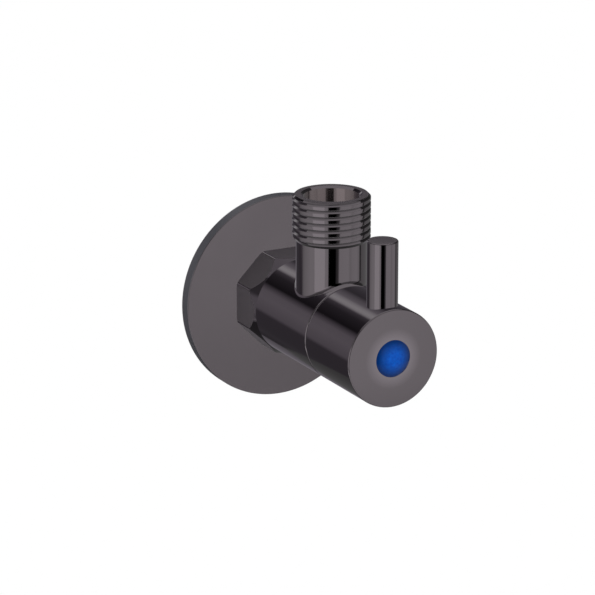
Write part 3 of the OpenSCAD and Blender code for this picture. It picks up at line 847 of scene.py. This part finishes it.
# %% Handle
HANDLE_START = -handle_high.y / MM
HANDLE_FACE = -handle_low.y / MM
SKIRT = 11.2
SKIRT_FLOOR = 56.0
CLIP_ROOM = 6.8
BUSH_SEAT = 5.65
BUSH_START = 59.9
BUSH_END = 63.4
COUNTERBORE = 4.4
BUTTON_HOLE = 5.05
BUTTON_DEPTH = 1
PIN_FOOT = 12.603
PIN_SEAT = 4.15
PIN_SEAT_TOP = 16
SPIGOT_HOLE = 2.55
SPIGOT_HOLE_FLOOR = 7.467
face_edge = rounded((BARREL_RADIUS, HANDLE_FACE), (BARREL_RADIUS, HANDLE_START),
    (BUTTON_HOLE, HANDLE_FACE), EDGE)
skirt_edge = rounded((BARREL_RADIUS, HANDLE_START), (SKIRT, HANDLE_START),
    (BARREL_RADIUS, HANDLE_FACE), EDGE)
handle = turn("handle_dressed", [
    (SKIRT, HANDLE_START), *skirt_edge, *face_edge, (BUTTON_HOLE, HANDLE_FACE),
    (BUTTON_HOLE, HANDLE_FACE - BUTTON_DEPTH), (COUNTERBORE, HANDLE_FACE - BUTTON_DEPTH),
    (COUNTERBORE, BUSH_END), (BUSH_SEAT, BUSH_END), (BUSH_SEAT, BUSH_START),
    (CLIP_ROOM, BUSH_START), (CLIP_ROOM, SKIRT_FLOOR), (SKIRT, SKIRT_FLOOR), (SKIRT, HANDLE_START)])
pin_seat = turn("pin_seat", [
    (0, SPIGOT_HOLE_FLOOR), (SPIGOT_HOLE, SPIGOT_HOLE_FLOOR), (SPIGOT_HOLE, PIN_FOOT),
    (PIN_SEAT, PIN_FOOT), (PIN_SEAT, PIN_SEAT_TOP), (0, PIN_SEAT_TOP)], upright(PIN_FROM_WALL))
combine(handle, pin_seat, "DIFFERENCE")


def on_handle_face(p, normal):
    """True on the handle's flat front face."""
    return normal.y < -FACING and p.y < -HANDLE_FACE + NEAR


finish_piece(handle, gunmetal, "handle", "handle_shell",
    [(gunmetal_face_painted_highlight, on_handle_face)])

# %% [markdown]
# The lever pin screws into the handle with a thinner spigot. Its top edge is rounded, so that it is
# kind to a thumb.

# %% Lever pin
pin_low, pin_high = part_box("lever_pin")
PIN_RADIUS = pin_high.x / MM
PIN_TOP = pin_high.z / MM
PIN_BOTTOM = pin_low.z / MM
SPIGOT = 2.5
SPIGOT_BEVEL = 0.4
pin_edge = rounded((PIN_RADIUS, PIN_TOP), (PIN_RADIUS, PIN_FOOT), (0, PIN_TOP), EDGE)
pin = turn("lever_pin_dressed", [
    (0, PIN_BOTTOM), (SPIGOT - SPIGOT_BEVEL, PIN_BOTTOM), (SPIGOT, PIN_BOTTOM + SPIGOT_BEVEL),
    (SPIGOT, PIN_FOOT), (PIN_RADIUS, PIN_FOOT), *pin_edge, (0, PIN_TOP)], upright(PIN_FROM_WALL))


def on_pin_top(p, normal):
    """True on the flat top of the pin."""
    return normal.z > FACING


finish_piece(pin, gunmetal_pin, "handle", "lever_pin",
    [(gunmetal_milled, on_pin_top)])

# %% [markdown]
# The blue button is a moulded cap with a shallow dome. It could be cut from a ball, but an arc in the
# outline gives the dome and the soft rim in one go. Its skirt clips into the screw's counterbore.

# %% Button
button_low, button_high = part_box("indicator_button")
BUTTON_RADIUS = button_high.x / MM
BUTTON_TOP = -button_low.y / MM
BUTTON_SEAT = HANDLE_FACE - BUTTON_DEPTH
BUTTON_SKIRT = -button_high.y / MM
SKIRT_INNER = 3.7
SKIRT_OUTER = 4.35
RIM_INSET = 0.12
RIM_DROP = 0.08
dome_height = BUTTON_TOP - HANDLE_FACE
dome_radius = (BUTTON_RADIUS ** 2 + dome_height ** 2) / (2 * dome_height)
DOME_STEPS = 14
dome = []
for i in range(DOME_STEPS + 1):
    r = (BUTTON_RADIUS - RIM_INSET) * (1 - i / DOME_STEPS)
    dome.append((r, BUTTON_TOP - dome_radius + math.sqrt(dome_radius ** 2 - r ** 2)))
button = turn("button_dressed", [
    (0, BUTTON_SEAT), (SKIRT_INNER, BUTTON_SEAT), (SKIRT_INNER, BUTTON_SKIRT),
    (SKIRT_OUTER, BUTTON_SKIRT), (SKIRT_OUTER, BUTTON_SEAT), (BUTTON_RADIUS, BUTTON_SEAT),
    (BUTTON_RADIUS, dome[0][1] - RIM_DROP), *dome])
finish_piece(button, blue_plastic, "handle", "indicator_button")

# %% [markdown]
# The pieces inside keep their CAD meshes, because their shapes are right. Each gets the finish of
# what it is made of on a real valve.

# %% Finishes of the inner CAD pieces
inner_finishes = {
    brass: ("cartridge_housing", "spindle", "spline_insert"),
    steel: ("seal_ring", "thrust_washer", "spindle_clip", "screw_washer", "handle_screw"),
    rubber: ("housing_gasket", "seat_seal", "spindle_seal_rear", "spindle_seal_front",
        "dust_ring"),
    ceramic: ("fixed_disc", "moving_disc"),
}
for finish, names in inner_finishes.items():
    for name in names:
        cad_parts[name].visible_glossy = False
        for material_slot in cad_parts[name].material_slots:
            material_slot.material = finish
    print(finish.name, "on", len(names), "pieces")

# %% [markdown]
# The studio. A dark mirror shows its surroundings more than itself, so the bands on the barrel and
# the stripes on the outlet come from what stands round the valve: a white room, a soft lamp on the
# left, two bent boards and a dark mat. The side board is mostly white, with a black strip towards the
# camera, and the back board is mostly dark. Both are seen only in reflections. Nothing is known of
# the room in the photograph, so their brightness was chosen by comparing renders with it, and the
# bands still differ from it in places. Separate cards would show their hard ends, so the brightness
# of a board runs from one angle to the next.

# %% Floor
FLOOR_HEIGHT = -420 * MM
FLOOR_SIZE = 24
FLOOR_GLOW = 0.5
FLOOR_GREY = (0.5, 0.5, 0.5, 1)
start_clean()
bpy.ops.mesh.primitive_plane_add(size=FLOOR_SIZE, location=(0, 0, FLOOR_HEIGHT))
floor = bpy.context.object
floor.name = "studio_floor"
floor_paint = bpy.data.materials.new("studio_floor")
floor_paint.use_nodes = True
tree = floor_paint.node_tree
tree.nodes.clear()
rays = add_node(tree, "ShaderNodeLightPath")
diffuse = add_node(tree, "ShaderNodeBsdfDiffuse", Color=FLOOR_GREY)
glow = add_node(tree, "ShaderNodeEmission")
seen = math_node(tree, "MAXIMUM", rays.outputs["Is Camera Ray"], rays.outputs["Is Glossy Ray"])
seen = math_node(tree, "MAXIMUM", seen, rays.outputs["Is Transmission Ray"])
strength = math_node(tree, "MULTIPLY", seen, FLOOR_GLOW)
tree.links.new(strength, glow.inputs["Strength"])
both = add_node(tree, "ShaderNodeAddShader")
tree.links.new(diffuse.outputs[0], both.inputs[0])
tree.links.new(glow.outputs[0], both.inputs[1])
paint_out = add_node(tree, "ShaderNodeOutputMaterial")
tree.links.new(both.outputs[0], paint_out.inputs["Surface"])
floor.data.materials.append(floor_paint)

# %% Room light
world = bpy.data.worlds.new("room")
bpy.context.scene.world = world
world.use_nodes = True
world.node_tree.nodes["Background"].inputs["Color"].default_value = (1, 1, 1, 1)
world.node_tree.nodes["Background"].inputs["Strength"].default_value = 1.0


# %% [markdown]
# The paint of a board. The angle of a point about the board's axis, in degrees, picks the brightness
# from a list of (angle, brightness), and a second list of (height in mm, share) fades it if need be.
# The darker the paint, the more violet it is, as in the photograph's shadows.

# %% Paint for boards that are seen only in reflections
BRIGHTEST = 1.5
BOARD_STEPS = 96
DARK_TINT = (0.02, -0.09, 0.07)
SIDE_BOARD_LOW = -200
SIDE_BOARD_HIGH = 450


def ramp_node(tree, value, steps, lowest, highest):
    """A colour ramp over a range of values. steps is a list of (value, level)."""
    share = add_node(tree, "ShaderNodeMapRange")
    tree.links.new(value, share.inputs["Value"])
    share.inputs["From Min"].default_value = lowest
    share.inputs["From Max"].default_value = highest
    ramp = add_node(tree, "ShaderNodeValToRGB")
    tree.links.new(share.outputs["Result"], ramp.inputs["Fac"])
    while len(ramp.color_ramp.elements) < len(steps):
        ramp.color_ramp.elements.new(0.5)
    for element, (place, level) in zip(ramp.color_ramp.elements, steps):
        element.position = (place - lowest) / (highest - lowest)
        shade = max(0.0, 1 - level)
        element.color = sort_colour([level * (1 + tint * shade) / BRIGHTEST for tint in DARK_TINT])
    return ramp.outputs["Color"]


def board_paint(name, centre, across, towards, levels, fade):
    """A paint whose brightness in reflections depends on the angle and the height of a point."""
    paint = bpy.data.materials.new(name)
    paint.use_nodes = True
    tree = paint.node_tree
    tree.nodes.clear()
    place = add_node(tree, "ShaderNodeTexCoord")
    offset = add_node(tree, "ShaderNodeVectorMath", {"operation": "SUBTRACT"})
    tree.links.new(place.outputs["Object"], offset.inputs[0])
    offset.inputs[1].default_value = centre
    parts = []
    for direction in (across, towards):
        part = add_node(tree, "ShaderNodeVectorMath", {"operation": "DOT_PRODUCT"})
        tree.links.new(offset.outputs[0], part.inputs[0])
        part.inputs[1].default_value = direction
        parts.append(part.outputs["Value"])
    angle = math_node(tree, "DEGREES", math_node(tree, "ARCTAN2", *parts))
    level = ramp_node(tree, angle, levels, -180, 180)
    if fade:
        height = add_node(tree, "ShaderNodeSeparateXYZ")
        tree.links.new(place.outputs["Object"], height.inputs[0])
        share = ramp_node(tree, math_node(tree, "DIVIDE", height.outputs["Z"], MM), fade,
            SIDE_BOARD_LOW, SIDE_BOARD_HIGH)
        level = math_node(tree, "MULTIPLY", level, math_node(tree, "MULTIPLY", share, BRIGHTEST))
    show_in_reflections(tree, level)
    return paint


def show_in_reflections(tree, level):
    """Ends a tree so that it shines at a level in reflections and is clear for all other rays."""
    rays = add_node(tree, "ShaderNodeLightPath")
    clear = add_node(tree, "ShaderNodeBsdfTransparent")
    glow = add_node(tree, "ShaderNodeEmission", Strength=BRIGHTEST)
    if isinstance(level, bpy.types.NodeSocket):
        tree.links.new(level, glow.inputs["Color"])
    else:
        glow.inputs["Color"].default_value = sort_colour([level / BRIGHTEST] * 3)
    mix = add_node(tree, "ShaderNodeMixShader")
    tree.links.new(rays.outputs["Is Glossy Ray"], mix.inputs[0])
    tree.links.new(clear.outputs[0], mix.inputs[1])
    tree.links.new(glow.outputs[0], mix.inputs[2])
    paint_out = add_node(tree, "ShaderNodeOutputMaterial")
    tree.links.new(mix.outputs[0], paint_out.inputs["Surface"])


def bent_board(name, line, axis, centre, angle, paint):
    """A line swept by an angle about an axis, as a painted board."""
    board = draw_outline(name, line)
    bpy.ops.mesh.spin(steps=BOARD_STEPS, angle=-angle, center=centre, axis=axis)
    bpy.ops.mesh.select_all(action="SELECT")
    bpy.ops.mesh.remove_doubles(threshold=WELD)
    bpy.ops.object.mode_set(mode="OBJECT")
    board.data.materials.append(paint)
    board.visible_camera = False


# %% [markdown]
# One board stands round the front and the sides. Its angles count from the camera to the right. The
# other hangs behind the valve as a flat ring about the barrel's axis, with its angles from the top to
# the right. It is what the round barrel mirrors, seen from in front.

# %% The two boards
MIDDLE = Vector((0, -35 * MM, 0))
camera_side = Vector((towards_camera.x, towards_camera.y, 0)).normalized()
SIDE_BOARD_FROM = -107
SIDE_BOARD_TO = 163
SIDE_BOARD_RADIUS = 420 * MM
side_levels = [(-107, 0.52), (-96, 0.78), (-84, 0.9), (-72, 1.0), (-11, 1.0), (-9.5, 0.0), (13, 0.0),
    (15, 0.12), (22, 0.2), (25, 1.0), (55, 1.05), (58, 0.98), (61, 0.88), (64, 0.86), (69, 0.96),
    (88, 1.0), (96, 0.85), (101, 0.75), (103.5, 0.08), (108, 0.08), (110.5, 0.42), (120, 0.42),
    (134, 0.34), (163, 0.2)]
side_fade = [(-180, 0.6), (-140, 1.0), (60, 1.0), (110, 0.35)]
side_start = Matrix.Rotation(math.radians(SIDE_BOARD_FROM), 3, "Z") @ camera_side * SIDE_BOARD_RADIUS
side_line = [MIDDLE + side_start + Vector((0, 0, height * MM))
    for height in (SIDE_BOARD_LOW, SIDE_BOARD_HIGH)]
side_paint = board_paint("side_board", MIDDLE, picture_right, camera_side, side_levels, side_fade)
bent_board("side_board", side_line, (0, 0, 1), MIDDLE,
    math.radians(SIDE_BOARD_TO - SIDE_BOARD_FROM), side_paint)

BACK_BOARD_AT = 450 * MM
BACK_BOARD_INNER = 60
BACK_BOARD_OUTER = 620
back_levels = [(-175, 0.06), (-163, 0.10), (-151, 0.10), (-115, 0.14), (-107, 0.36), (-79, 0.5),
    (-62, 0.47), (-53, 0.26), (-45, 0.04), (-19, 0.09), (-7, 0.2), (-1, 0.95), (5, 1.05), (12, 0.8),
    (18, 0.45), (28, 0.3), (40, 0.1), (105, 0.1), (130, 0.2), (161, 0.2)]
back_line = [Vector((0, BACK_BOARD_AT, radius * MM))
    for radius in (BACK_BOARD_INNER, BACK_BOARD_OUTER)]
back_paint = board_paint("back_board", (0, BACK_BOARD_AT, 0), (1, 0, 0), (0, 0, 1), back_levels, None)
bent_board("back_board", back_line, (0, 1, 0), (0, BACK_BOARD_AT, 0), math.tau, back_paint)

# %% [markdown]
# A dark mat under the valve keeps the white floor out of the edges and cones that look down.

# %% Mat under the valve
MAT_PLACE = (0, 0.165, -0.31)
MAT_SIZE = (0.9, 0.55, 1)
MAT_LEVEL = 0.15
start_clean()
bpy.ops.mesh.primitive_plane_add(size=1, location=MAT_PLACE)
mat = bpy.context.object
mat.name = "dark_mat"
mat.scale = MAT_SIZE
mat.visible_camera = False
mat_paint = bpy.data.materials.new("dark_mat")
mat_paint.use_nodes = True
mat_paint.node_tree.nodes.clear()
show_in_reflections(mat_paint.node_tree, MAT_LEVEL)
mat.data.materials.append(mat_paint)

# %% Soft lamp
LAMP_ANGLE = -38.5
LAMP_DISTANCE = 0.40
LAMP_DROP = 0.05
LAMP_WIDTH = 0.43
LAMP_HEIGHT = 0.5
LAMP_POWER = 0.32
lamp_data = bpy.data.lights.new("soft_lamp", "AREA")
lamp_data.shape = "RECTANGLE"
lamp_data.size = LAMP_WIDTH
lamp_data.size_y = LAMP_HEIGHT
lamp_data.energy = LAMP_POWER
lamp = bpy.data.objects.new("soft_lamp", lamp_data)
bpy.context.collection.objects.link(lamp)
lamp_way = Matrix.Rotation(math.radians(LAMP_ANGLE), 3, "Z") @ camera_side
lamp.location = MIDDLE + lamp_way * LAMP_DISTANCE - Vector((0, 0, LAMP_DROP))
lamp.rotation_mode = "QUATERNION"
lamp.rotation_quaternion = lamp_way.to_track_quat("Z", "Y")
